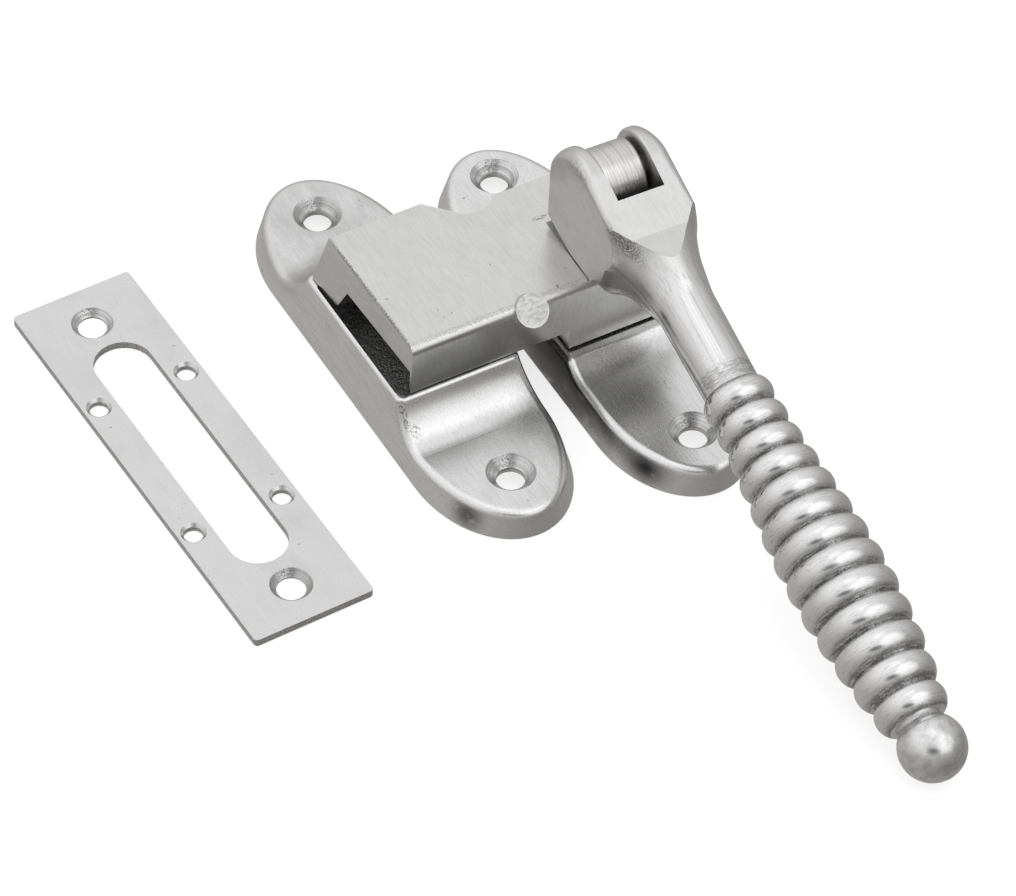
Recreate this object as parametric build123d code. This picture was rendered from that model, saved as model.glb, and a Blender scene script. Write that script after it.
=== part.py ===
from build123d import *
import math
import os

os.makedirs("parts", exist_ok=True)

# Millimetres and degrees. The origin is on the mounting plane, midway between the two
# screw holes of the keep. The arm runs along +X to the base, the feet lie along Y.

# Screw fixings, the same on both feet and on the mortice plate
screw_pitch = 71.0
screw_hole_dia = 5.2
csk_angle = 90.0
cut_margin = 1.0
edge_pick = 0.01

# Feet: drafted cast shells, straight-sided with elliptical ends
foot_wall = 2.4
foot_pocket_draft = 12.0
flange_top = 5.5
flange_skin = 2.9
foot_csk_dia = 8.9

# Keep: raised middle with a rough-cast recess under the end of the arm
keep_outline_x = -0.1
keep_outline_y = -0.2
keep_low_outline = (13.95, 46.1, 19.5)
keep_top_outline = (12.2, 44.6, 27.0)
keep_flange_round = 1.6
keep_top = 11.8
keep_platform_half = 17.2
keep_ramp_run = 8.4
keep_edge_round = 0.8
recess_rim = 0.6
recess_land = 4.2
recess_front_wall = 0.6
recess_back_wall = 1.9
recess_depth = 6.6
recess_corner = 2.0

# Base: low middle on which the arm turns
base_x = 33.0
base_y = -6.4
base_outline_x = -0.4
base_outline_y = -1.0
base_low_outline = (13.6, 45.1, 19.5)
base_top_outline = (11.4, 44.0, 22.0)
base_flange_round = 1.6
base_top = 7.0
base_platform_half = 12.0
base_ramp_run = 5.8
base_edge_round = 1.7
base_pocket_skin = 2.8

# Arm
arm_gap = 0.2
arm_top = 22.5
arm_front = -16.4
arm_left = -9.1
arm_right = 44.6
arm_back = 14.4
arm_narrow_back = 10.3
arm_back_draft = 1.9
arm_end_rake_front = 0.5
arm_end_rake_back = 2.25
arm_shoulder_x = 9.2
scoop_start_x = 13.5
scoop_start_y = 10.0
scoop_low_x = 17.5
scoop_low_y = 8.0
scoop_end_x = 21.5
arm_front_round = 1.5
arm_wall = 2.8
arm_roof = 3.0
mouth_top = 16.9
mouth_back_top = 5.8
mouth_back_low = 8.0
mouth_lead_land = 0.3
boss_left = 22.4
boss_radius = 17.5
boss_gap = 0.6
gate_dia = 6.2
gate_x = 14.2
gate_proud = 0.7
gate_down = 0.9

# Spindle and its knuckle
spindle_x = 34.6
spindle_y = -7.9
rest_turn = -1.84
pin_height = 36.8
knuckle_radius = 6.25
knuckle_width = 8.3
knuckle_neck = 11.6
knuckle_foot_gap = 0.1
knuckle_edge_round = 0.5
shank_side = 7.0
shank_fit = 0.05
tail_dia = 6.4
tail_fit = 0.05
washer_dia = 12.6
washer_thickness = 1.2
washer_seat_gap = 0.05
rivet_dia = 9.6
rivet_thickness = 1.3
pin_dia = 5.0
pin_press_fit = 0.02
pin_running_fit = 0.06
pin_blind_depth = 2.6

# Handle: fork, neck, ringed grip and ball in one casting
fork_width = 16.8
fork_shift = 0.2
slot_width = 9.1
slot_front = 10.1
heel_gap = 0.2
heel_back = 7.8
crown_forward = 1.4
crown_rise = -0.98
crown_radius = 9.2
top_slope = 22.8
seat_clearance = 0.15
grip_tilt = 15.0
grip_lift = 0.35
crown_turns = (0, 28, 56, 84, 112.8)
outer_rounds = (1.9, 2.5, 2.8, 1.8, 0.9)
inner_rounds = (0.3, 0.6, 0.8, 0.8, 0.6)
shoulder_round = 0.25
shoulder_height = 6.4
shoulder_reach = 17.5
heel_round = 0.6
head_reach = 34.5
neck_start_s = 29.0
neck_start_radius = 5.3
neck_end_radius = 5.1
grip_start_s = 46.0
ring_count = 13
ring_first_s = 48.6
ring_first_pitch = 4.87
ring_pitch_growth = 0.072
ring_first_radius = 6.4
ring_belly_radius = 8.92
ring_last_radius = 6.52
ring_belly_index = 7.5
ring_taper_power = 1.8
groove_depth = 1.35
ball_neck_radius = 4.0
ball_radius = 6.0
ball_s = 119.1
flare_points = ((26.0, 5.65), (21.1, 6.5), (18.5, 7.3), (16.6, 8.1), (15.2, 8.95), (13.6, 10.0))
flare_end_s = 11.0
flare_end_radius = 12.1
flare_start_slope = -0.02
flare_end_slope = -0.85
flare_tail = 20.0
flare_tail_radius = 16.0

# Web under the neck, fuller than the flare: place along the grip, half width, reach above
# the axis, reach below it, corner radius
throat_sections = (
    (10.5, 9.8, 3.0, 14.0, 4.0),
    (12.8, 8.85, 3.0, 12.2, 4.0),
    (14.6, 8.45, 3.0, 11.9, 4.0),
    (16.4, 8.0, 3.0, 11.2, 4.0),
    (18.0, 7.35, 3.0, 9.5, 4.0),
    (20.3, 6.55, 3.0, 7.4, 3.6),
    (22.9, 5.95, 3.0, 6.4, 3.6),
    (26.1, 5.35, 3.2, 5.7, 4.0),
    (28.9, 4.95, 4.2, 5.1, 4.5),
    (32.0, 4.5, 4.4, 4.5, 4.4),
)

# Mortice plate, loose beside the fastener
plate_length = 87.4
plate_width = 23.35
plate_thickness = 1.5
plate_corner = 0.8
plate_x = -45.2
plate_y = -1.9
plate_turn = 1.9
plate_csk_dia = 7.6
plate_slot_length = 58.5
plate_slot_width = 10.8
plate_small_dia = 3.5
plate_small_csk_dia = 4.6
plate_small_along = 33.9
plate_small_across = 17.5


def foot_face(outline, inset, z):
    """A foot's outline at height z, from its half width, half length and the reach of its ends."""
    full_width, half_length, full_reach = outline
    half_width = full_width - inset
    reach = full_reach - inset
    straight = half_length - full_reach
    right = Line((half_width, -straight), (half_width, straight))
    far = EllipticalCenterArc((0, straight), half_width, reach, start_angle=0, arc_size=180)
    left = Line((-half_width, straight), (-half_width, -straight))
    near = EllipticalCenterArc((0, -straight), half_width, reach, start_angle=180, arc_size=180)
    return Pos(0, 0, z) * make_face([right, far, left, near])


def flange_cutter(side, top, platform_half, ramp_run):
    """What is cut away over one flange, with the concave ramp up to the platform."""
    rise = top - flange_top
    ramp_radius = (ramp_run ** 2 + rise ** 2) / (2 * rise)
    low = (side * (platform_half + ramp_run), flange_top)
    high = (side * platform_half, top)
    turn = math.asin(ramp_run / ramp_radius) / 2
    middle = (
        low[0] - side * ramp_radius * math.sin(turn),
        low[1] + ramp_radius * (1 - math.cos(turn)),
    )
    outside = side * screw_pitch
    ramp = ThreePointArc(low, middle, high)
    rest = Polyline(
        high,
        (high[0], top + cut_margin),
        (outside, top + cut_margin),
        (outside, flange_top),
        low,
    )
    return extrude(Plane.YZ * make_face([ramp, rest]), screw_pitch, both=True)


def countersunk(hole_dia, head_dia, surface, bottom):
    """Screw hole with its countersink opening at the surface height."""
    sink = (head_dia - hole_dia) / 2 / math.tan(math.radians(csk_angle / 2))
    spread = cut_margin * math.tan(math.radians(csk_angle / 2))
    length = surface - bottom + 2 * cut_margin
    hole = Pos(0, 0, bottom - cut_margin + length / 2) * Cylinder(hole_dia / 2, length)
    cone_height = sink + cut_margin
    cone = Cone(hole_dia / 2, head_dia / 2 + spread, cone_height)
    return hole + Pos(0, 0, surface - sink + cone_height / 2) * cone


def foot(offset, outlines, top, platform_half, ramp_run, rounds):
    """One cast foot without its own recess or bore, about the middle of its screw holes."""
    low_outline, top_outline = outlines
    edge_round, flange_round = rounds
    body = loft([foot_face(low_outline, 0, 0), foot_face(top_outline, 0, top)], ruled=True)
    body = Pos(*offset) * body
    for side in (-1, 1):
        body -= flange_cutter(side, top, platform_half, ramp_run)
    middles = [e for e in body.edges() if flange_top - edge_pick < e.center().Z < top - edge_pick]
    rims = [e for e in middles if abs((e @ 0).Y - (e @ 1).Y) > edge_pick]
    body = fillet(rims, flange_round)
    crests = [e for e in body.edges().filter_by(Axis.X) if abs(e.center().Z - top) < edge_pick]
    body = fillet(crests, edge_round)
    ceiling = flange_top - flange_skin
    narrower = foot_wall + ceiling * math.tan(math.radians(foot_pocket_draft))
    pocket_low = foot_face(low_outline, foot_wall, 0)
    pocket_top = foot_face(low_outline, narrower, ceiling)
    body -= Pos(*offset) * loft([pocket_low, pocket_top], ruled=True)
    for side in (-1, 1):
        hole = countersunk(screw_hole_dia, foot_csk_dia, flange_top, 0)
        body -= Pos(0, side * screw_pitch / 2, 0) * hole
    return body


def make_keep():
    body = foot(
        (keep_outline_x, keep_outline_y, 0),
        (keep_low_outline, keep_top_outline),
        keep_top,
        keep_platform_half,
        keep_ramp_run,
        (keep_edge_round, keep_flange_round),
    )
    rim_half = keep_top_outline[0]
    left = keep_outline_x - rim_half + recess_rim
    right = keep_outline_x + rim_half - recess_land
    front = -keep_platform_half + recess_front_wall
    back = keep_platform_half - recess_back_wall
    outline = Pos((left + right) / 2, (front + back) / 2) * RectangleRounded(
        right - left, back - front, recess_corner
    )
    recess = extrude(Pos(0, 0, keep_top - recess_depth) * outline, recess_depth + cut_margin)
    return body - recess


def make_base():
    body = foot(
        (base_outline_x, base_outline_y, 0),
        (base_low_outline, base_top_outline),
        base_top,
        base_platform_half,
        base_ramp_run,
        (base_edge_round, base_flange_round),
    )
    pocket_top = base_top - base_pocket_skin
    side = 2 * (base_top_outline[0] - foot_wall)
    pocket = Box(side, 2 * base_platform_half, pocket_top)
    body -= Pos(base_outline_x, 0, pocket_top / 2) * pocket
    bore = Cylinder(tail_dia / 2 + tail_fit, 2 * base_top)
    body -= Pos(spindle_x - base_x, spindle_y - base_y, base_top) * bore
    return Pos(base_x, base_y, 0) * body


def arm_face(z, end_front, end_back, drop):
    """Plan of the arm at height z: left end, stepped back edge with its scoop, right end."""
    left_front = (arm_left - end_front, arm_front)
    left_back = (arm_left - end_back, arm_back + drop)
    shoulder = (arm_shoulder_x, arm_back + drop)
    scoop_start = (scoop_start_x, scoop_start_y + drop)
    scoop_low = (scoop_low_x, scoop_low_y + drop)
    scoop_end = (scoop_end_x, arm_narrow_back + drop)
    right_back = (arm_right, arm_narrow_back + drop)
    right_front = (arm_right, arm_front)
    run = Polyline(scoop_end, right_back, right_front, left_front, left_back, shoulder, scoop_start)
    scoop = ThreePointArc(scoop_start, scoop_low, scoop_end)
    return Pos(0, 0, z) * make_face([run, scoop])


def arm_cavity(low):
    """Hollow under the plate of the arm, clear of the scoop and of the spindle's boss."""
    left = arm_left + arm_wall
    front = arm_front + arm_wall
    back = arm_back - arm_wall
    narrow = scoop_low_y - arm_wall
    right = boss_left - arm_wall
    outline = Polyline(
        (left, front),
        (right, front),
        (right, narrow),
        (scoop_start_x - arm_wall / 2, narrow),
        (arm_shoulder_x - arm_wall / 2, back),
        (left, back),
        (left, front),
    )
    height = arm_top - arm_roof - low
    return extrude(Pos(0, 0, low) * make_face(outline), height)


def mouth_cutter(low):
    """Mouth in the end wall: slanted at its back end, led in at the front corner."""
    far_left = arm_left - arm_wall - arm_end_rake_back
    inner = arm_left + arm_wall + cut_margin
    lead = inner - arm_left
    plan = Polyline(
        (far_left, arm_front + mouth_lead_land),
        (arm_left - arm_end_rake_front, arm_front + mouth_lead_land),
        (inner, arm_front + mouth_lead_land + lead),
        (inner, mouth_back_low + arm_wall),
        (far_left, mouth_back_low + arm_wall),
        (far_left, arm_front + mouth_lead_land),
    )
    block = extrude(Pos(0, 0, low - cut_margin) * make_face(plan), mouth_top - low + cut_margin)
    slope = (mouth_back_low - mouth_back_top) / (mouth_top - low)
    side = Polyline(
        (arm_front, low - cut_margin),
        (mouth_back_low + slope * cut_margin, low - cut_margin),
        (mouth_back_top, mouth_top),
        (arm_front, mouth_top),
        (arm_front, low - cut_margin),
    )
    return block & extrude(Plane.YZ * make_face(side), abs(far_left) + arm_right, both=True)


def on_spindle(shape):
    """Places a piece modelled about the spindle's axis, turned as the lever stands at rest."""
    return Pos(spindle_x, spindle_y, 0) * Rot(Z=rest_turn) * shape


def heel_seats():
    """Dished seats under the two cheeks: room for the heel's corner as the lever lifts."""
    heel = pin_height - arm_top - heel_gap
    sweep = math.hypot(heel, heel_back) + seat_clearance
    cheek = (fork_width - slot_width) / 2
    width = cheek + 2 * seat_clearance
    seats = []
    for side in (-1, 1):
        middle = fork_shift + side * (slot_width + cheek) / 2
        drum = Pos(middle, 0, pin_height) * Rot(Y=90) * Cylinder(sweep, width)
        seats.append(drum)
    return seats


def make_arm():
    low = keep_top + arm_gap
    top_face = arm_face(arm_top, 0, 0, 0)
    low_face = arm_face(low, arm_end_rake_front, arm_end_rake_back, arm_back_draft)
    body = loft([low_face, top_face], ruled=True)
    front_edge = body.edges().filter_by(Axis.X).group_by(Axis.Z)[-1].sort_by(Axis.Y)[0]
    body = fillet(front_edge, arm_front_round)
    body -= arm_cavity(low)
    body -= mouth_cutter(low)
    boss_low = base_top + boss_gap
    height = low - boss_low + cut_margin
    width = arm_right - boss_left
    depth = arm_narrow_back - arm_front
    block = Box(width, depth, height, align=(Align.MIN, Align.MIN, Align.MIN))
    block = Pos(boss_left, arm_front, boss_low) * block
    drum = Cylinder(boss_radius, height, align=(Align.CENTER, Align.CENTER, Align.MIN))
    body += block & (Pos(spindle_x, spindle_y, boss_low) * drum)
    outward = gate_proud * math.sqrt(0.5)
    centre = arm_front_round * (1 - math.sqrt(0.5)) - outward
    gate_length = 2 * arm_front_round
    gate = Cylinder(gate_dia / 2, gate_length, align=(Align.CENTER, Align.CENTER, Align.MAX))
    gate_y = arm_front + centre - gate_down * math.sqrt(0.5)
    gate_z = arm_top - centre - gate_down * math.sqrt(0.5)
    body += Pos(gate_x, gate_y, gate_z) * Rot(X=45) * gate
    for seat in heel_seats():
        body -= on_spindle(seat)
    side = shank_side + 2 * shank_fit
    body -= on_spindle(Pos(0, 0, arm_top / 2) * Box(side, side, 2 * arm_top))
    return body


def make_spindle():
    foot_z = arm_top + knuckle_foot_gap
    barrel = Pos(0, 0, pin_height) * Rot(Y=90) * Cylinder(knuckle_radius, knuckle_width)
    rims = [e for e in barrel.edges() if e.geom_type == GeomType.CIRCLE]
    barrel = fillet(rims, knuckle_edge_round)
    neck_height = pin_height - foot_z
    neck = Pos(0, 0, foot_z + neck_height / 2) * Box(knuckle_width, knuckle_neck, neck_height)
    bore = Pos(0, 0, pin_height) * Rot(Y=90) * Cylinder(pin_dia / 2 + pin_running_fit, fork_width)
    shank_low = base_top + boss_gap / 2
    shank_height = foot_z - shank_low
    shank = Pos(0, 0, shank_low + shank_height / 2) * Box(shank_side, shank_side, shank_height)
    seat = base_top - base_pocket_skin - washer_seat_gap
    rivet_low = seat - washer_thickness - rivet_thickness
    tail_height = shank_low - rivet_low
    tail = Pos(0, 0, rivet_low + tail_height / 2) * Cylinder(tail_dia / 2, tail_height)
    rivet = Pos(0, 0, rivet_low + rivet_thickness / 2) * Cylinder(rivet_dia / 2, rivet_thickness)
    return on_spindle(barrel + neck - bore + shank + tail + rivet)


def make_washer():
    seat = base_top - base_pocket_skin - washer_seat_gap
    ring = Cylinder(washer_dia / 2, washer_thickness)
    ring -= Cylinder(tail_dia / 2 + tail_fit, 2 * washer_thickness)
    return on_spindle(Pos(0, 0, seat - washer_thickness / 2) * ring)


def pin_span():
    """Where the pin starts in the left cheek and ends at the right cheek's face."""
    blind = fork_shift - slot_width / 2 - pin_blind_depth
    face = fork_shift + fork_width / 2
    return blind, face


def make_pin():
    blind, face = pin_span()
    pin = Cylinder(pin_dia / 2, face - blind)
    return on_spindle(Pos((blind + face) / 2, 0, pin_height) * Rot(Y=90) * pin)


def ring_stations():
    """Distance along the grip and radius at the crest of each ring."""
    stations = []
    place = ring_first_s
    for index in range(ring_count):
        if index < ring_belly_index:
            share = 0.5 - 0.5 * math.cos(math.pi * index / ring_belly_index)
            radius = ring_first_radius + share * (ring_belly_radius - ring_first_radius)
        else:
            share = (index - ring_belly_index) / (ring_count - 1 - ring_belly_index)
            radius = ring_belly_radius - share ** ring_taper_power * (ring_belly_radius - ring_last_radius)
        stations.append((place, radius))
        place += ring_first_pitch + ring_pitch_growth * index
    return stations


def grip_profile():
    """Half section of the neck, the rings and the ball, with the axis along X."""
    stations = ring_stations()
    ball_start = ball_s - math.sqrt(ball_radius ** 2 - ball_neck_radius ** 2)
    valleys = [(grip_start_s, neck_end_radius)]
    for (s0, r0), (s1, r1) in zip(stations, stations[1:]):
        valleys.append(((s0 + s1) / 2, (r0 + r1) / 2 - groove_depth))
    valleys.append((ball_start, ball_neck_radius))
    neck = Line((neck_start_s, neck_start_radius), valleys[0])
    beads = []
    for start, crest, end in zip(valleys, stations, valleys[1:]):
        beads.append(ThreePointArc(start, crest, end))
    lean = math.asin(ball_neck_radius / ball_radius) / 2
    side = (ball_s - ball_radius * math.sin(lean), ball_radius * math.cos(lean))
    ball = ThreePointArc(valleys[-1], side, (ball_s + ball_radius, 0))
    close = Polyline((ball_s + ball_radius, 0), (neck_start_s, 0), (neck_start_s, neck_start_radius))
    return make_face([neck, *beads, ball, close])


def flare_profile():
    """Half section of the trumpet between the neck and the head."""
    start = (neck_start_s, neck_start_radius)
    end = (flare_end_s, flare_end_radius)
    tangents = [(-1, -flare_start_slope), (-1, -flare_end_slope)]
    flare = Spline(start, *flare_points, end, tangents=tangents)
    close = Polyline(
        end,
        (flare_end_s, flare_tail_radius),
        (-flare_tail, flare_tail_radius),
        (-flare_tail, 0),
        (neck_start_s, 0),
        start,
    )
    return make_face([flare, close])


def throat():
    """Web that carries the heel into the underside of the neck, with the axis along X."""
    sections = []
    for place, half_width, above, below, corner in throat_sections:
        outline = RectangleRounded(2 * half_width, above + below, corner)
        plane = Plane(origin=(place, 0, (above - below) / 2), x_dir=(0, 1, 0), z_dir=(1, 0, 0))
        sections.append(plane * outline)
    return loft(sections)


def along_grip(shape):
    """Places a turned form with its axis along X onto the inclined axis of the grip."""
    return Pos(fork_shift, 0, pin_height + grip_lift) * Rot(X=grip_tilt) * Rot(Z=-90) * shape


def crown_points():
    """Crown's centre and the point where the sloping flat top touches its arc, in Y and Z."""
    slope = math.radians(top_slope)
    centre = (-crown_forward, pin_height + crown_rise)
    touch = (centre[0] - crown_radius * math.sin(slope), centre[1] + crown_radius * math.cos(slope))
    return centre, touch


def head_side():
    """Side outline of the head in Y and Z: crown, back, heel and the sloping flat top."""
    slope = math.radians(top_slope)
    tilt = math.radians(grip_tilt)
    centre, touch = crown_points()
    lean = (math.pi / 2 - slope) / 2
    middle = (centre[0] + crown_radius * math.cos(lean), centre[1] + crown_radius * math.sin(lean))
    back = (centre[0] + crown_radius, centre[1])
    heel = arm_top + heel_gap
    neck_line = pin_height + grip_lift + shoulder_height / math.cos(tilt)
    gap = touch[1] - (neck_line + touch[0] * math.tan(tilt))
    run = gap / (math.tan(slope) - math.tan(tilt))
    meet = (touch[0] - run, touch[1] - run * math.tan(slope))
    end_top = (-head_reach, neck_line - head_reach * math.tan(tilt))
    crown = ThreePointArc(touch, middle, back)
    rest = Polyline(back, (heel_back, heel), (-head_reach, heel), end_top, meet, touch)
    return make_face([crown, rest])


def corner_section(edge_x, side, point, turn, size):
    """What a rounding of this size cuts off an edge of the head, in the plane across the edge."""
    lean = math.radians(90 + top_slope - turn)
    plane = Plane(
        origin=(edge_x, point[0], point[1]),
        x_dir=(side, 0, 0),
        z_dir=Vector(side, 0, 0).cross(Vector(0, math.cos(lean), math.sin(lean))),
    )
    inner = size * (1 - math.sqrt(0.5))
    arc = ThreePointArc((0, -size), (-inner, -inner), (-size, 0))
    corner = (cut_margin, cut_margin)
    rest = Polyline((-size, 0), (-size, cut_margin), corner, (cut_margin, -size), (0, -size))
    return plane * make_face([arc, rest])


def edge_rounding(edge_x, side, rounds):
    """Cutters that round one long edge of the head over the crown and fade out at both ends."""
    slope = math.radians(top_slope)
    centre, touch = crown_points()
    shoulder = (touch[0] - shoulder_reach * math.cos(slope), touch[1] - shoulder_reach * math.sin(slope))
    heel = (centre[0] + crown_radius, arm_top + heel_gap)
    arc = []
    for turn, size in zip(crown_turns, rounds):
        lean = math.radians(90 + top_slope - turn)
        point = (centre[0] + crown_radius * math.cos(lean), centre[1] + crown_radius * math.sin(lean))
        arc.append(corner_section(edge_x, side, point, turn, size))
    front = corner_section(edge_x, side, shoulder, 0, shoulder_round)
    low = corner_section(edge_x, side, heel, crown_turns[-1], heel_round)
    return [loft([front, arc[0]], ruled=True), loft(arc), loft([arc[-1], low], ruled=True)]


def make_handle():
    head = extrude(Plane.YZ * head_side(), fork_width / 2, both=True)
    head = Pos(fork_shift, 0, 0) * head
    for side in (-1, 1):
        outer_edge = fork_shift + side * fork_width / 2
        for cutter in edge_rounding(outer_edge, side, outer_rounds):
            head -= cutter
    flare = head & along_grip(revolve(flare_profile(), Axis.X))
    web = head & along_grip(throat())
    body = flare + along_grip(revolve(grip_profile(), Axis.X)) + web
    slot_length = slot_front + crown_radius + cut_margin
    slot = Box(slot_width, slot_length, 2 * pin_height, align=(Align.CENTER, Align.MIN, Align.MIN))
    body -= Pos(fork_shift, -slot_front, 0) * slot
    for side in (-1, 1):
        inner_edge = fork_shift + side * slot_width / 2
        for cutter in edge_rounding(inner_edge, -side, inner_rounds)[1:]:
            body -= cutter
    blind, face = pin_span()
    length = face - blind + cut_margin
    hole = Cylinder(pin_dia / 2 + pin_press_fit, length)
    hole = Pos(0, 0, length / 2) * hole
    body -= Pos(blind - pin_press_fit, 0, pin_height) * Rot(Y=90) * hole
    return on_spindle(body)


def make_plate():
    outline = RectangleRounded(plate_width, plate_length, plate_corner)
    body = extrude(outline, plate_thickness)
    slot = Rot(Z=90) * SlotOverall(plate_slot_length, plate_slot_width)
    body -= extrude(Pos(0, 0, -cut_margin) * slot, plate_thickness + 2 * cut_margin)
    for side in (-1, 1):
        hole = countersunk(screw_hole_dia, plate_csk_dia, plate_thickness, 0)
        body -= Pos(0, side * screw_pitch / 2, 0) * hole
        for across in (-1, 1):
            small = countersunk(plate_small_dia, plate_small_csk_dia, plate_thickness, 0)
            body -= Pos(across * plate_small_across / 2, side * plate_small_along / 2, 0) * small
    return Pos(plate_x, plate_y, 0) * Rot(Z=plate_turn) * body


pieces = {
    "keep": make_keep(),
    "base_plate": make_base(),
    "arm": make_arm(),
    "spindle": make_spindle(),
    "tail_washer": make_washer(),
    "handle": make_handle(),
    "pivot_pin": make_pin(),
    "mortice_plate": make_plate(),
}
for name, piece in pieces.items():
    export_step(piece, f"parts/{name}.step")
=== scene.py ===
import math
import bpy
from mathutils import Euler, Matrix, Vector


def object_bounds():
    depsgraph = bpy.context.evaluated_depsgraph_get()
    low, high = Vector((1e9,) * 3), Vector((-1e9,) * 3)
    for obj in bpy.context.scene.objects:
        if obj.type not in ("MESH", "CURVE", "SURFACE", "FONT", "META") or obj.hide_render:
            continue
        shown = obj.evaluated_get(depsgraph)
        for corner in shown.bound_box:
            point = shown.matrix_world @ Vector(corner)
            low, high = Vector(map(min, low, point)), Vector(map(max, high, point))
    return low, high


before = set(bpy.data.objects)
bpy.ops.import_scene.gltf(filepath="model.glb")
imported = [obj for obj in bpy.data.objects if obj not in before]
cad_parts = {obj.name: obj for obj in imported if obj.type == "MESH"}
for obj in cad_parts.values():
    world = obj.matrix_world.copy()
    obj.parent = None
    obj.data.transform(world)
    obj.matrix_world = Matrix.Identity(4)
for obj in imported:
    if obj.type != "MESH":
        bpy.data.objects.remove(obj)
cad_low, cad_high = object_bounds()


# Keep: a satin casting that is screwed to the upper sash. Its outside was linished along the
# foot, which leaves fine lines and faint clouds; the recess under the arm was left as cast,
# dark and sandy, and its screw holes show the rings of the countersinking tool.
def colour(text):
    """Linear colour, with full alpha, of an sRGB hex value."""
    values = [int(text[place:place + 2], 16) / 255 for place in (1, 3, 5)]
    return [v / 12.92 if v <= 0.04045 else ((v + 0.055) / 1.055) ** 2.4 for v in values] + [1.0]


def add(tree, kind, inputs=None, **settings):
    """Adds a node with its settings; an input is a value or the socket it is linked from."""
    node = tree.nodes.new(kind)
    for key, value in settings.items():
        setattr(node, key, value)
    for socket, value in (inputs or {}).items():
        if isinstance(value, bpy.types.NodeSocket):
            tree.links.new(value, node.inputs[socket])
        else:
            node.inputs[socket].default_value = value
    return node


def metres(sizes_mm):
    """These millimetres in metres, the unit of the frame."""
    return [size / 1000 for size in sizes_mm]


class Finish:
    """A metal finish that is built up from marks: tints, roughness and relief by mask."""

    def __init__(self, name, base, rough, origin_mm=(0, 0, 0), turn=(0, 0, 0)):
        self.material = bpy.data.materials.new(name)
        self.material.use_nodes = True
        self.tree = self.material.node_tree
        self.tree.nodes.clear()
        self.where = add(self.tree, "ShaderNodeTexCoord")
        lie = {"Vector": self.where.outputs["Object"], "Location": metres(origin_mm), "Rotation": turn}
        centred = add(self.tree, "ShaderNodeMapping", lie, vector_type="TEXTURE")
        self.place = centred.outputs[0]
        self.shade = colour(base)
        self.rough = rough
        self.relief = 0.0

    def grain(self, lengths_mm, low, high, detail=3.0):
        """Nought to one as a noise, drawn out to these lengths along X, Y and Z, goes from low to high."""
        scale = [1 / length for length in metres(lengths_mm)]
        drawn = add(self.tree, "ShaderNodeVectorMath", {0: self.place, 1: scale}, operation="MULTIPLY")
        pattern = {"Vector": drawn.outputs[0], "Scale": 1.0, "Detail": detail}
        noise = add(self.tree, "ShaderNodeTexNoise", pattern)
        limits = {"Value": noise.outputs["Fac"], "From Min": low, "From Max": high}
        return add(self.tree, "ShaderNodeMapRange", limits, interpolation_type="SMOOTHSTEP").outputs[0]

    def within(self, centre_mm, reach_mm, fade, square=False):
        """One inside an ellipsoid, or a box, of these half sizes, falling to nought over the fade."""
        tree = self.tree
        from_centre = {0: self.place, 1: metres(centre_mm)}
        offset = add(tree, "ShaderNodeVectorMath", from_centre, operation="SUBTRACT")
        by_reach = {0: offset.outputs[0], 1: metres(reach_mm)}
        share = add(tree, "ShaderNodeVectorMath", by_reach, operation="DIVIDE")
        if square:
            size = add(tree, "ShaderNodeVectorMath", {0: share.outputs[0]}, operation="ABSOLUTE")
            axes = add(tree, "ShaderNodeSeparateXYZ", {0: size.outputs[0]}).outputs
            wider = add(tree, "ShaderNodeMath", {0: axes[0], 1: axes[1]}, operation="MAXIMUM")
            widest = add(tree, "ShaderNodeMath", {0: wider.outputs[0], 1: axes[2]}, operation="MAXIMUM")
            away = widest.outputs[0]
        else:
            length = add(tree, "ShaderNodeVectorMath", {0: share.outputs[0]}, operation="LENGTH")
            away = length.outputs["Value"]
        limits = {"Value": away, "From Min": 1 - fade, "From Max": 1 + fade, "To Min": 1.0, "To Max": 0.0}
        return add(tree, "ShaderNodeMapRange", limits, interpolation_type="SMOOTHSTEP").outputs[0]

    def facing(self, direction, low, high):
        """Nought to one as the normal's share along a direction of the object goes from low to high."""
        compared = {0: self.where.outputs["Normal"], 1: direction}
        lean = add(self.tree, "ShaderNodeVectorMath", compared, operation="DOT_PRODUCT")
        limits = {"Value": lean.outputs["Value"], "From Min": low, "From Max": high}
        return add(self.tree, "ShaderNodeMapRange", limits, interpolation_type="SMOOTHSTEP").outputs[0]

    def mark(self, masks, tint, amount, rough, depth_mm=0.0):
        """Lays a tint, a change of roughness and a relief where the masks overlap."""
        tree = self.tree
        share = masks[0]
        for mask in masks[1:]:
            share = add(tree, "ShaderNodeMath", {0: share, 1: mask}, operation="MULTIPLY").outputs[0]
        part = add(tree, "ShaderNodeMath", {0: share, 1: amount}, operation="MULTIPLY").outputs[0]
        # A Mix node takes its two colours at inputs 6 and 7, and gives a colour at output 2.
        tinted = {0: part, 6: self.shade, 7: colour(tint)}
        self.shade = add(tree, "ShaderNodeMix", tinted, data_type="RGBA").outputs[2]
        duller = {0: share, 1: rough, 2: self.rough}
        self.rough = add(tree, "ShaderNodeMath", duller, operation="MULTIPLY_ADD").outputs[0]
        if depth_mm:
            raised = {0: share, 1: depth_mm / 1000, 2: self.relief}
            self.relief = add(tree, "ShaderNodeMath", raised, operation="MULTIPLY_ADD").outputs[0]

    def dress(self, *names):
        """Closes the shader and puts the finish in the material slots of these nodes."""
        bump = add(self.tree, "ShaderNodeBump", {"Strength": 1.0, "Distance": 1.0, "Height": self.relief})
        metal = {
            "Metallic": 1.0,
            "Base Color": self.shade,
            "Roughness": self.rough,
            "Normal": bump.outputs[0],
        }
        shader = add(self.tree, "ShaderNodeBsdfPrincipled", metal)
        add(self.tree, "ShaderNodeOutputMaterial", {"Surface": shader.outputs[0]})
        for name in names:
            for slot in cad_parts[name].material_slots:
                slot.material = self.material


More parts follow.
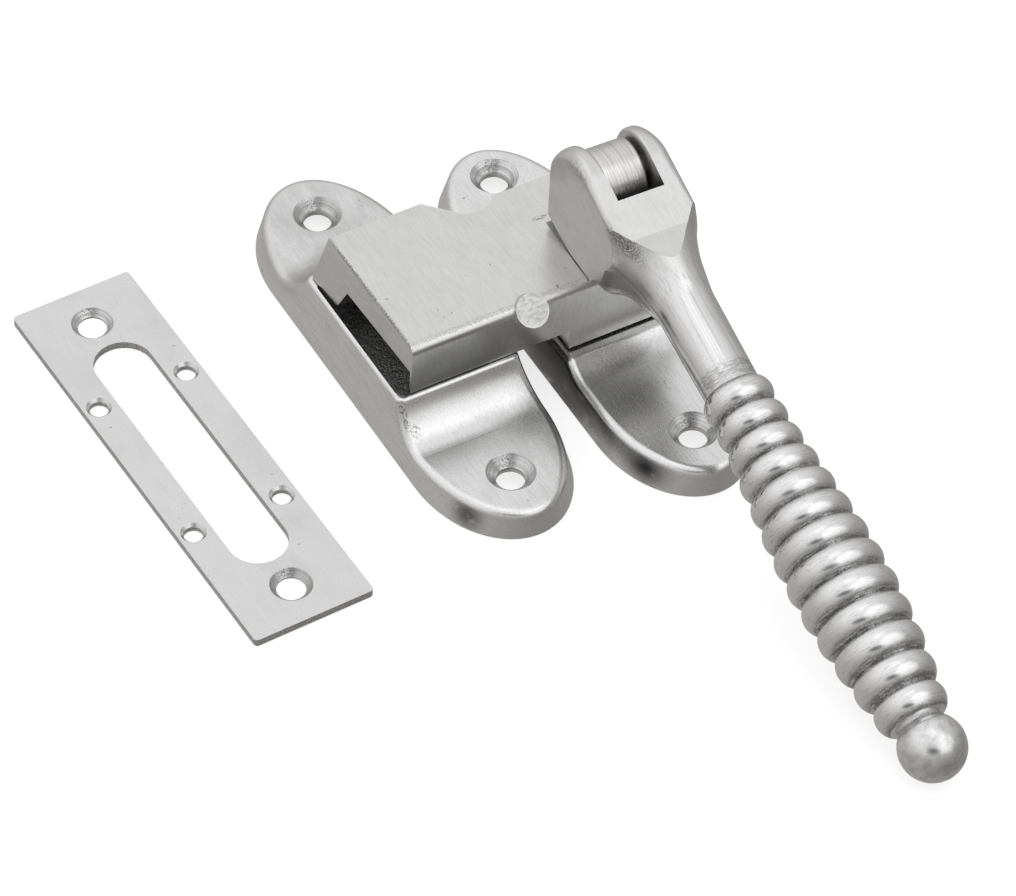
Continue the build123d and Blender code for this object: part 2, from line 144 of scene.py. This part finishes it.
upward = (0, 0, 1)
sand_mm = (0.30, 0.40, 0.30)
coarse_sand_mm = (0.45, 0.45, 0.45)


def satin_casting(name, base, rough, brush_mm, origin_mm=(0, 0, 0), turn=(0, 0, 0), lines=0.20):
    """Cast metal linished one way: fine lines, faint clouds, a dry skin and a few pits."""
    # The belt's real lines lie some 0.05 mm apart. They are drawn some 0.2 mm wide, as coarse as
    # they need to be to show.
    metal = Finish(name, base, rough, origin_mm, turn)
    belt_lines = metal.grain(brush_mm, low=0.40, high=0.72, detail=4.0)
    metal.mark([belt_lines], tint="#A3A2A1", amount=lines, rough=0.04, depth_mm=-0.0008)
    clouds = metal.grain((7.0, 9.0, 6.0), low=0.45, high=0.80)
    metal.mark([clouds], tint="#A8A6A5", amount=0.16, rough=0.03)
    skin = metal.grain(sand_mm, low=0.40, high=0.70, detail=2.0)
    metal.mark([skin], tint="#B4B3B2", amount=0.12, rough=0.02, depth_mm=0.0003)
    pits = metal.grain((1.0, 1.0, 1.0), low=0.780, high=0.81, detail=1.0)
    metal.mark([pits], tint="#4A4948", amount=0.45, rough=0.10, depth_mm=-0.015)
    return metal


def tool_rings(metal, centre_mm, radius_mm, depth_mm):
    """Ring marks of the countersinking tool, with a darker sandy patch at the back of the cone."""
    ring_mm = 0.22
    even_mm = 90.0
    cone = metal.within(centre_mm, (radius_mm, radius_mm, depth_mm), fade=0.02, square=True)
    steep = metal.facing(upward, low=0.93, high=0.80)
    rings = metal.grain((even_mm, even_mm, ring_mm), low=0.40, high=0.62, detail=2.0)
    metal.mark([cone, steep, rings], tint="#5C5B5A", amount=0.36, rough=0.05, depth_mm=-0.004)
    x, y, z = centre_mm
    back_mm = (x + 0.9, y + radius_mm * 0.75, z + 0.6)
    back = metal.within(back_mm, (1.5, 1.3, 1.6), fade=0.6)
    sand = metal.grain(sand_mm, low=0.44, high=0.62)
    metal.mark([back, steep, sand], tint="#3A3938", amount=0.65, rough=0.10, depth_mm=-0.004)


# The marks are laid in millimetres. A mark's place is its middle, and its reach is half its
# size each way.
screw_half_pitch = 35.5
foot_brush = (0.22, 5.0, 0.30)
sink_radius = 4.5
sink_depth = 2.5
sink_middle = 3.6
keep = satin_casting("linished_keep_casting", base="#E4E4E4", rough=0.25, brush_mm=foot_brush)
recess_place = (-1.9, -0.65, 8.3)
recess_reach = (9.85, 16.0, 3.25)
recess = keep.within(recess_place, recess_reach, fade=0.006, square=True)
keep.mark([recess], tint="#D5D4D3", amount=0.80, rough=0.15)
recess_sand = keep.grain(coarse_sand_mm, low=0.42, high=0.62)
keep.mark([recess, recess_sand], tint="#6A6968", amount=0.60, rough=0.05, depth_mm=-0.12)
recess_hollows = keep.grain((2.2, 3.0, 2.2), low=0.45, high=0.65)
keep.mark([recess, recess_hollows], tint="#767574", amount=0.40, rough=0.05, depth_mm=-0.05)
for side in (-1, 1):
    tool_rings(keep, (0, side * screw_half_pitch, sink_middle), sink_radius, sink_depth)

# Marks on the keep: the faint line where the ramp runs out into the near flange, a dull patch on
# the end wall, burr and sand along its left crest, the duller brushing of its far end, a painted
# shadow at the foot of the far ramp, and a painted dark reflection along its right rim.
ramp_foot = keep.within((-4.0, -25.7, 5.5), (8.5, 0.12, 0.5), fade=0.6)
broken_line = keep.grain((0.9, 0.3, 0.3), low=0.42, high=0.62)
keep.mark([ramp_foot, broken_line], tint="#7A7978", amount=0.45, rough=0.03, depth_mm=-0.004)
keep_wall = keep.facing(upward, low=0.55, high=0.15)
scuff = keep.within((-10.5, -38.6, 2.8), (2.4, 2.6, 2.4), fade=0.9)
scuff_blotches = keep.grain((1.6, 1.6, 1.3), low=0.05, high=0.50, detail=4.0)
keep.mark([scuff, keep_wall, scuff_blotches], tint="#1C1B1E", amount=0.92, rough=0.05)
crest = keep.within((-11.7, -18.2, 9.4), (0.6, 2.6, 3.0), fade=0.4)
crest_burr = keep.grain((0.35, 0.45, 0.35), low=0.46, high=0.58)
keep.mark([crest, crest_burr], tint="#454443", amount=0.65, rough=0.10, depth_mm=-0.01)
below_crest = keep.within((-10.8, -20.8, 7.1), (1.0, 1.2, 1.2), fade=0.35)
crest_sand = keep.grain(coarse_sand_mm, low=0.47, high=0.58)
keep.mark([below_crest, crest_sand], tint="#6A6968", amount=0.60, rough=0.10, depth_mm=-0.008)
# Painted shadow: a darker band at the foot of the far ramp, next to the arm.
painted_far_ramp_shadow = keep.within((0.0, 22.3, 7.0), (14.0, 4.8, 3.6), fade=0.4)
far_ramp_shadow_grain = keep.grain((3.0, 1.2, 2.0), low=0.0, high=0.55)
keep.mark([painted_far_ramp_shadow, far_ramp_shadow_grain], tint="#8E8D8C", amount=0.62, rough=0.02)
far_end = keep.within((0.0, 31.0, 6.5), (15.0, 15.0, 4.0), fade=0.7)
far_clouds = keep.grain((4.0, 7.0, 4.0), low=0.15, high=0.70)
keep.mark([far_end, far_clouds], tint="#9C9B9A", amount=0.45, rough=0.02)
# Painted reflection: a dark band along the right rim of the near flange.
painted_right_rim_reflection = keep.within((15.5, -31.0, 5.0), (5.5, 13.0, 6.0), fade=0.75)
right_rim_reflection_grain = keep.grain((0.5, 3.0, 0.5), low=0.0, high=0.62, detail=4.0)
keep.mark([painted_right_rim_reflection, right_rim_reflection_grain], tint="#5E5D5C", amount=0.80, rough=0.04)
keep.dress("keep")

# Base: the same linished casting, screwed to the lower sash, on which the arm turns. Its left
# wall is darkened with painted shade, most of all in a patch towards its near end.
base_x = 33.0
base_y = -6.4
base = satin_casting("linished_base_casting", base="#E4E4E4", rough=0.24, brush_mm=foot_brush)
for side in (-1, 1):
    hole = (base_x, base_y + side * screw_half_pitch, sink_middle)
    tool_rings(base, hole, sink_radius, sink_depth)
base_wall = base.facing(upward, low=0.75, high=0.40)
# Painted shade on the left wall, deepest in a blotchy patch towards its near end.
painted_left_wall_shade = base.within((18.5, -17.0, 5.0), (7.5, 18.0, 9.0), fade=0.55)
left_wall_shade_clouds = base.grain((3.0, 6.0, 3.0), low=0.0, high=0.50)
base.mark([painted_left_wall_shade, base_wall, left_wall_shade_clouds], tint="#3A3837", amount=0.84, rough=0.04)
painted_near_end_shade = base.within((22.4, -43.6, 2.9), (4.0, 3.6, 2.4), fade=1.0)
near_end_shade_blotches = base.grain((1.6, 1.8, 1.3), low=0.0, high=0.45, detail=4.0)
base.mark([painted_near_end_shade, base_wall, near_end_shade_blotches], tint="#121116", amount=0.95, rough=0.05)
base.dress("base_plate")

# Arm: a lighter casting, hollow below, that the spindle holds on the base. It was linished across
# its length, which left burrs along its top edges. The round pad on its front edge is the
# ground-off stub of the casting's gate.
arm_left = -9.1
arm_front = -16.4
arm_top = 22.5
arm_brush = (0.20, 4.0, 0.40)
arm = satin_casting("linished_arm_casting", base="#D9D9D8", rough=0.27, brush_mm=arm_brush)
front = arm.facing((0, -1, 0), low=0.75, high=0.92)
front_lines = arm.grain((0.25, 1.0, 1.6), low=0.40, high=0.70)
arm.mark([front, front_lines], tint="#8E8D8C", amount=0.22, rough=0.03, depth_mm=-0.0008)
# Painted shade: the front face is darkened towards its left end and towards its right end.
painted_front_left_shade = arm.within((-3.0, arm_front, 14.0), (13.0, 3.0, 8.0), fade=0.6)
arm.mark([painted_front_left_shade, front], tint="#565554", amount=0.75, rough=0.02)
painted_front_right_shade = arm.within((36.0, arm_front, 16.0), (16.0, 3.0, 8.0), fade=0.5)
arm.mark([painted_front_right_shade, front], tint="#8A8988", amount=0.45, rough=0.02)
left_edge = arm.within((arm_left + 0.08, -0.8, arm_top), (0.24, 15.4, 0.30), fade=0.45, square=True)
left_burr = arm.grain((0.25, 0.35, 0.25), low=0.38, high=0.56)
arm.mark([left_edge, left_burr], tint="#4A4948", amount=0.75, rough=0.05, depth_mm=-0.008)
front_edge = arm.within((17.5, arm_front + 1.30, arm_top), (27.0, 0.55, 0.30), fade=0.6, square=True)
front_burr = arm.grain((0.30, 0.25, 0.30), low=0.44, high=0.62)
arm.mark([front_edge, front_burr], tint="#7E7D7C", amount=0.50, rough=0.06, depth_mm=-0.006)
gate_place = (14.2, -16.6, 22.3)
gate_reach = (3.15, 3.15, 3.15)
gate_slant = (0, -0.7071, 0.7071)
gate = arm.within(gate_place, gate_reach, fade=0.02)
gate_face = arm.facing(gate_slant, low=0.93, high=0.985)
arm.mark([gate, gate_face], tint="#E4E4E4", amount=0.30, rough=0.04)
gate_tears = arm.grain((0.9, 0.6, 0.6), low=0.35, high=0.66, detail=4.0)
arm.mark([gate, gate_face, gate_tears], tint="#8A8988", amount=0.38, rough=0.05, depth_mm=-0.006)
nick = arm.within((26.3, 1.6, arm_top), (1.3, 0.4, 0.4), fade=0.6)
nick_grain = arm.grain((0.5, 0.4, 0.4), low=0.40, high=0.52)
arm.mark([nick, nick_grain], tint="#3F3E3D", amount=0.70, rough=0.10, depth_mm=-0.015)
hollow = arm.within((5.0, -1.0, 15.8), (12.5, 14.0, 3.9), fade=0.02, square=True)
underside = arm.facing((0, 0, -1), low=0.50, high=0.80)
hollow_sand = arm.grain((0.4, 0.4, 0.4), low=0.40, high=0.62)
arm.mark([hollow, underside, hollow_sand], tint="#555453", amount=0.60, rough=0.20, depth_mm=-0.02)
arm.dress("arm")

# Lever: one brighter casting of fork, neck, ringed grip and ball, polished along the neck and
# round the grip so that it mirrors the room more sharply. A pin holds it on the spindle. Its
# marks are placed along the grip's own axis, from the pivot outwards.
lever_turn = -1.84
grip_tilt = 15.0
grip_origin = (34.8, -7.91, 37.15)
turned = (math.radians(grip_tilt), 0.0, math.radians(lever_turn))
lever = Finish("polished_lever_casting", base="#E2E2E2", rough=0.16, origin_mm=grip_origin, turn=turned)
axis_turn = Euler(turned).to_matrix()
along = tuple(axis_turn @ Vector((0, -1, 0)))
across = tuple(axis_turn @ Vector((-1, 0, 0)))
upwards = tuple(axis_turn @ Vector((0, 0, 1)))
lever_clouds = lever.grain((5.0, 7.0, 5.0), low=0.45, high=0.80)
lever.mark([lever_clouds], tint="#A8A7A6", amount=0.16, rough=0.05)
lever_skin = lever.grain((0.35, 0.35, 0.35), low=0.45, high=0.75, detail=2.0)
lever.mark([lever_skin], tint="#B0AFAE", amount=0.14, rough=0.04, depth_mm=0.0006)
lever_pits = lever.grain((0.9, 0.9, 0.9), low=0.780, high=0.81, detail=1.0)
lever.mark([lever_pits], tint="#4A4948", amount=0.45, rough=0.10, depth_mm=-0.012)

# Fork: its flat cheeks and top are duller and linished, and the cheeks carry painted shade too,
# with scale left near the crown, and a sandy pocket stands where the left shoulder runs out
# into the neck.
fork = lever.within((0, -3.0, 0), (12.0, 21.0, 18.0), fade=0.14, square=True)
lever.mark([fork], tint="#C4C2C1", amount=0.35, rough=0.08)
fork_lines = lever.grain((0.25, 2.6, 0.8), low=0.44, high=0.72, detail=4.0)
lever.mark([fork, fork_lines], tint="#A2A1A0", amount=0.18, rough=0.04, depth_mm=-0.0006)
# Painted shade: the cheeks are tinted darker than the top of the fork.
cheek_painted_shade = lever.facing(across, low=0.80, high=0.95)
lever.mark([fork, cheek_painted_shade], tint="#A5A2A0", amount=0.50, rough=0.05)
flat_top = lever.facing(upwards, low=0.90, high=0.98)
lever.mark([fork, flat_top], tint="#A9A9A8", amount=0.16, rough=0.04)
crown = lever.within((-8.5, 1.5, 6.9), (1.1, 5.5, 2.2), fade=0.6)
crown_scale = lever.grain((0.6, 0.9, 0.6), low=0.42, high=0.64, detail=4.0)
lever.mark([crown, crown_scale], tint="#6D6C6B", amount=0.40, rough=0.08, depth_mm=-0.003)
pocket_parts = (
    ((-7.2, -13.5, 6.3), (1.5, 2.0, 1.6), 0.75),
    ((-6.0, -16.4, 5.3), (1.6, 2.2, 1.7), 0.85),
    ((-5.0, -18.9, 4.6), (1.0, 2.0, 1.3), 0.35),
)
below_top = lever.facing(upwards, low=0.985, high=0.95)
pocket_sand = lever.grain(sand_mm, low=0.30, high=0.62)
for place, reach, amount in pocket_parts:
    pocket = [lever.within(place, reach, fade=0.8), below_top, pocket_sand]
    lever.mark(pocket, tint="#4E4D4C", amount=amount, rough=0.10, depth_mm=-0.004)

# Neck: long dark lines along it, partly draw lines from polishing and partly painted streaks of
# shade, and a dull ring where the polishing belt stopped short of the first bead.
neck = lever.within((0, -34.0, 0), (9.0, 11.5, 9.0), fade=0.25, square=True)
draw_and_shade_lines = lever.grain((0.30, 16.0, 0.30), low=0.46, high=0.66)
lever.mark([neck, draw_and_shade_lines], tint="#7F7E7D", amount=0.26, rough=0.03, depth_mm=-0.0010)
belt_end = lever.within((0, -44.2, 0), (8.0, 1.6, 8.0), fade=0.5, square=True)
belt_marks = lever.grain((1.2, 0.35, 1.2), low=0.30, high=0.64)
lever.mark([belt_end, belt_marks], tint="#7A7978", amount=0.55, rough=0.08, depth_mm=-0.001)

# Grip: the flanks of the beads are darker towards their grooves, with small streaks of scale
# along them. The ball at its end has a few faint blotches of painted mottled reflection.
grip = lever.within((0, -79.5, 0), (12.0, 34.5, 12.0), fade=0.004, square=True)
flank_rings = lever.grain((2.4, 0.30, 2.4), low=0.36, high=0.62)
flank_sand = lever.grain((0.35, 0.30, 0.35), low=0.40, high=0.60)
for direction in (along, tuple(-part for part in along)):
    flank = lever.facing(direction, low=0.42, high=0.80)
    lever.mark([grip, flank, flank_rings], tint="#565554", amount=0.60, rough=0.08, depth_mm=-0.003)
    lever.mark([grip, flank, flank_sand], tint="#4A4948", amount=0.45, rough=0.08, depth_mm=-0.003)
scale_streaks = lever.grain((1.8, 0.30, 1.8), low=0.54, high=0.68, detail=4.0)
lever.mark([grip, scale_streaks], tint="#6A6968", amount=0.22, rough=0.05, depth_mm=-0.0010)
# Painted reflection: faint mottled blotches over the ball.
ball = lever.within((0, -119.1, 0), (6.3, 6.3, 6.3), fade=0.02)
ball_reflection_mottle = lever.grain((1.6, 1.6, 1.6), low=0.40, high=0.66, detail=4.0)
lever.mark([ball, ball_reflection_mottle], tint="#8F8E8D", amount=0.32, rough=0.06, depth_mm=-0.0015)
lever.dress("handle")

# Spindle, washer and pin: turned metal, whose fine lines run round the pivot's axis. The
# spindle's tail is riveted over the washer, and the pin is pressed into the fork.
spindle_brush = (0.18, 3.5, 3.5)
spindle = satin_casting("turned_spindle_metal", base="#DCDBDA", rough=0.25, brush_mm=spindle_brush)
turning_lines = spindle.grain((0.24, 8.0, 8.0), low=0.44, high=0.60)
spindle.mark([turning_lines], tint="#7E7D7C", amount=0.30, rough=0.03, depth_mm=-0.001)
spindle.dress("spindle", "tail_washer", "pivot_pin")

# Mortice plate: a loose plate of rolled metal sheet, brushed along its length to an even pale
# grey, with dull sawn edges and slot walls and the countersinking tool's rings in its holes.
plate_turn = 1.9
plate_middle = (-45.2, -1.9, 0.0)
plate_sink_middle = 0.9
plate_sink_radius = 3.9
plate_sink_depth = 0.59
plate = satin_casting(
    "brushed_plate_sheet",
    base="#DBDBDB",
    rough=0.27,
    brush_mm=(0.18, 7.0, 0.30),
    origin_mm=plate_middle,
    turn=(0.0, 0.0, math.radians(plate_turn)),
    lines=0.11,
)
edges = plate.facing(upward, low=0.60, high=0.30)
edge_sand = plate.grain((0.30, 0.35, 0.30), low=0.40, high=0.62)
plate.mark([edges, edge_sand], tint="#6A6968", amount=0.55, rough=0.08, depth_mm=-0.006)
for side in (-1, 1):
    hole = (0, side * screw_half_pitch, plate_sink_middle)
    tool_rings(plate, hole, plate_sink_radius, plate_sink_depth)
plate.dress("mortice_plate")

# Floor: plain white paper, with sizes in metres from here on. It glows a little to the camera, so
# that it is just over white in the open and a little under it in the object's soft shadow. Metal
# looks through it to the room's lower half, so that the walls mirror an even grey.
floor_reach = 3.0
floor_drop = 0.0002
paper_colour = "#E8E8E8"
seen_paper_colour = "#B4B4B4"
paper_glow = 0.72
floor_level = cad_low[2] - floor_drop
corners = [(-1, -1), (1, -1), (1, 1), (-1, 1)]
floor_data = bpy.data.meshes.new("floor")
places = [(x * floor_reach, y * floor_reach, floor_level) for x, y in corners]
floor_data.from_pydata(places, [], [(0, 1, 2, 3)])
floor = bpy.data.objects.new("floor", floor_data)
bpy.context.scene.collection.objects.link(floor)
paper = bpy.data.materials.new("white_paper")
paper.use_nodes = True
tree = paper.node_tree
tree.nodes.clear()
ray = add(tree, "ShaderNodeLightPath")
matt = add(tree, "ShaderNodeBsdfDiffuse", {"Color": colour(paper_colour)})
clear = add(tree, "ShaderNodeBsdfTransparent")
glowing_paper = add(tree, "ShaderNodeEmission", {"Strength": paper_glow})
lit_paper = add(tree, "ShaderNodeBsdfDiffuse", {"Color": colour(seen_paper_colour)})
white_paper = add(tree, "ShaderNodeAddShader", {0: glowing_paper.outputs[0], 1: lit_paper.outputs[0]})
for_metal = {0: ray.outputs["Is Glossy Ray"], 1: matt.outputs[0], 2: clear.outputs[0]}
seen = add(tree, "ShaderNodeMixShader", for_metal)
for_camera = {0: ray.outputs["Is Camera Ray"], 1: seen.outputs[0], 2: white_paper.outputs[0]}
shown = add(tree, "ShaderNodeMixShader", for_camera)
add(tree, "ShaderNodeOutputMaterial", {"Surface": shown.outputs[0]})
floor_data.materials.append(paper)

# Room: a light tent, brightest overhead, dim and a little warm below the horizon. A soft glow
# stands at the front right, and the lens opening is dark: it gives each bead its dark streak.
# The rows of the tent are height, from -1 below to 1 overhead, brightness and warmth.
tent = (
    (-1.0, 0.40, 0.06),
    (-0.4, 0.40, 0.06),
    (0.0, 0.50, 0.05),
    (0.3, 0.64, 0.02),
    (0.55, 0.79, 0.0),
    (0.74, 0.88, 0.0),
    (0.85, 0.96, 0.0),
    (0.93, 1.02, 0.0),
    (1.0, 1.05, 0.0),
)
tent_strength = 1.1
tent_lean = (-0.18, 0.25, 0.0)
glow_toward = (0.33, -0.60, 0.73)
glow_outer = 0.76
glow_inner = 0.96
glow_strength = 0.70
lens_toward = (-0.350, -0.578, 0.737)
lens_across = (0.871, -0.491, 0.029)
lens_down = (-0.345, -0.652, -0.675)
opening_size = (0.50, 0.26, 0.50)
opening_drop = 0.15
opening_inner = 0.3
opening_outer = 1.0
opening_share = 0.25
world = bpy.data.worlds.new("light_tent")
bpy.context.scene.world = world
world.use_nodes = True
tree = world.node_tree
tree.nodes.clear()
ray = add(tree, "ShaderNodeLightPath")
toward = add(tree, "ShaderNodeTexCoord").outputs["Generated"]
height = add(tree, "ShaderNodeSeparateXYZ", {0: toward}).outputs[2]
share = add(tree, "ShaderNodeMapRange", {"Value": height, "From Min": -1.0, "From Max": 1.0})
shades = add(tree, "ShaderNodeValToRGB", {0: share.outputs[0]})
stops = shades.color_ramp.elements
while len(stops) < len(tent):
    stops.new(position=0.5)
for stop, (level, brightness, warmth) in zip(stops, tent):
    stop.position = (level + 1) / 2
    grey = brightness / tent_strength
    stop.color = (grey, grey * (1 - warmth / 2), grey * (1 - warmth), 1.0)

# The tent's strength: a little more on the side that it leans to, and more again in the glow.
lean = add(tree, "ShaderNodeVectorMath", {0: toward, 1: tent_lean}, operation="DOT_PRODUCT")
leaning = {0: lean.outputs["Value"], 1: tent_strength, 2: tent_strength}
strength = add(tree, "ShaderNodeMath", leaning, operation="MULTIPLY_ADD")
glow_side = add(tree, "ShaderNodeVectorMath", {0: toward, 1: glow_toward}, operation="DOT_PRODUCT")
glow_fade = {
    "Value": glow_side.outputs["Value"],
    "From Min": glow_outer,
    "From Max": glow_inner,
    "To Max": glow_strength,
}
glow = add(tree, "ShaderNodeMapRange", glow_fade, interpolation_type="SMOOTHSTEP")
lit = add(tree, "ShaderNodeMath", {0: strength.outputs[0], 1: glow.outputs[0]}, operation="ADD")

# The lens opening: an ellipsoid in the camera's own axes, a little under the lens, in which only
# a share of the tent's light is left.
sideways = add(tree, "ShaderNodeVectorMath", {0: toward, 1: lens_across}, operation="DOT_PRODUCT")
downwards = add(tree, "ShaderNodeVectorMath", {0: toward, 1: lens_down}, operation="DOT_PRODUCT")
lens_side = add(tree, "ShaderNodeVectorMath", {0: toward, 1: lens_toward}, operation="DOT_PRODUCT")
axes = {"X": sideways.outputs["Value"], "Y": downwards.outputs["Value"], "Z": lens_side.outputs["Value"]}
from_lens = add(tree, "ShaderNodeCombineXYZ", axes)
middle = (0.0, opening_drop, 1.0)
away = add(tree, "ShaderNodeVectorMath", {0: from_lens.outputs[0], 1: middle}, operation="SUBTRACT")
sized = add(tree, "ShaderNodeVectorMath", {0: away.outputs[0], 1: opening_size}, operation="DIVIDE")
distance = add(tree, "ShaderNodeVectorMath", {0: sized.outputs[0]}, operation="LENGTH")
opening_fade = {
    "Value": distance.outputs["Value"],
    "From Min": opening_inner,
    "From Max": opening_outer,
    "To Min": opening_share,
}
opening = add(tree, "ShaderNodeMapRange", opening_fade, interpolation_type="SMOOTHSTEP")
light = add(tree, "ShaderNodeMath", {0: lit.outputs[0], 1: opening.outputs[0]}, operation="MULTIPLY")
room = add(tree, "ShaderNodeBackground", {"Color": shades.outputs[0], "Strength": light.outputs[0]})
backdrop = add(tree, "ShaderNodeBackground", {"Color": colour("#FFFFFF")})
for_camera = {0: ray.outputs["Is Camera Ray"], 1: room.outputs[0], 2: backdrop.outputs[0]}
mixed = add(tree, "ShaderNodeMixShader", for_camera)
add(tree, "ShaderNodeOutputWorld", {"Surface": mixed.outputs[0]})

# Overhead panel: a soft square light in the top of the tent, which draws the bright line along
# the neck and the bright spots on the beads and the ball.
panel_place = (0.0, 0.10, 1.2)
panel_side = 0.55
panel_watts = 0.18
panel_data = bpy.data.lights.new("overhead_panel", "AREA")
panel_data.shape = "SQUARE"
panel_data.size = panel_side
panel_data.energy = panel_watts
panel = bpy.data.objects.new("overhead_panel", panel_data)
panel.location = panel_place
bpy.context.scene.collection.objects.link(panel)

# Camera: far away with a long lens, at the photograph's viewing angle. Its place, its axes and
# its focal length were solved from the screw holes and edges of the feet and the plate.
photo_width = 1016
focal_pixels = 5769.5
film_width = 36.0
camera_place = (-0.3488, -0.6100, 0.7446)
camera_right = (0.87073, -0.49093, 0.02863)
camera_down = (-0.34532, -0.65184, -0.67517)
camera_ahead = (0.35012, 0.57800, -0.73711)
lens = bpy.data.cameras.new("camera")
lens.sensor_width = film_width
lens.lens = film_width * focal_pixels / photo_width
lens.clip_start = 0.05
lens.clip_end = 20.0
camera = bpy.data.objects.new("camera", lens)
turn = Matrix((camera_right, [-v for v in camera_down], [-v for v in camera_ahead])).transposed()
camera.matrix_world = Matrix.Translation(camera_place) @ turn.to_4x4()
bpy.context.scene.collection.objects.link(camera)
bpy.context.scene.camera = camera
bpy.context.scene.view_settings.view_transform = "Standard"
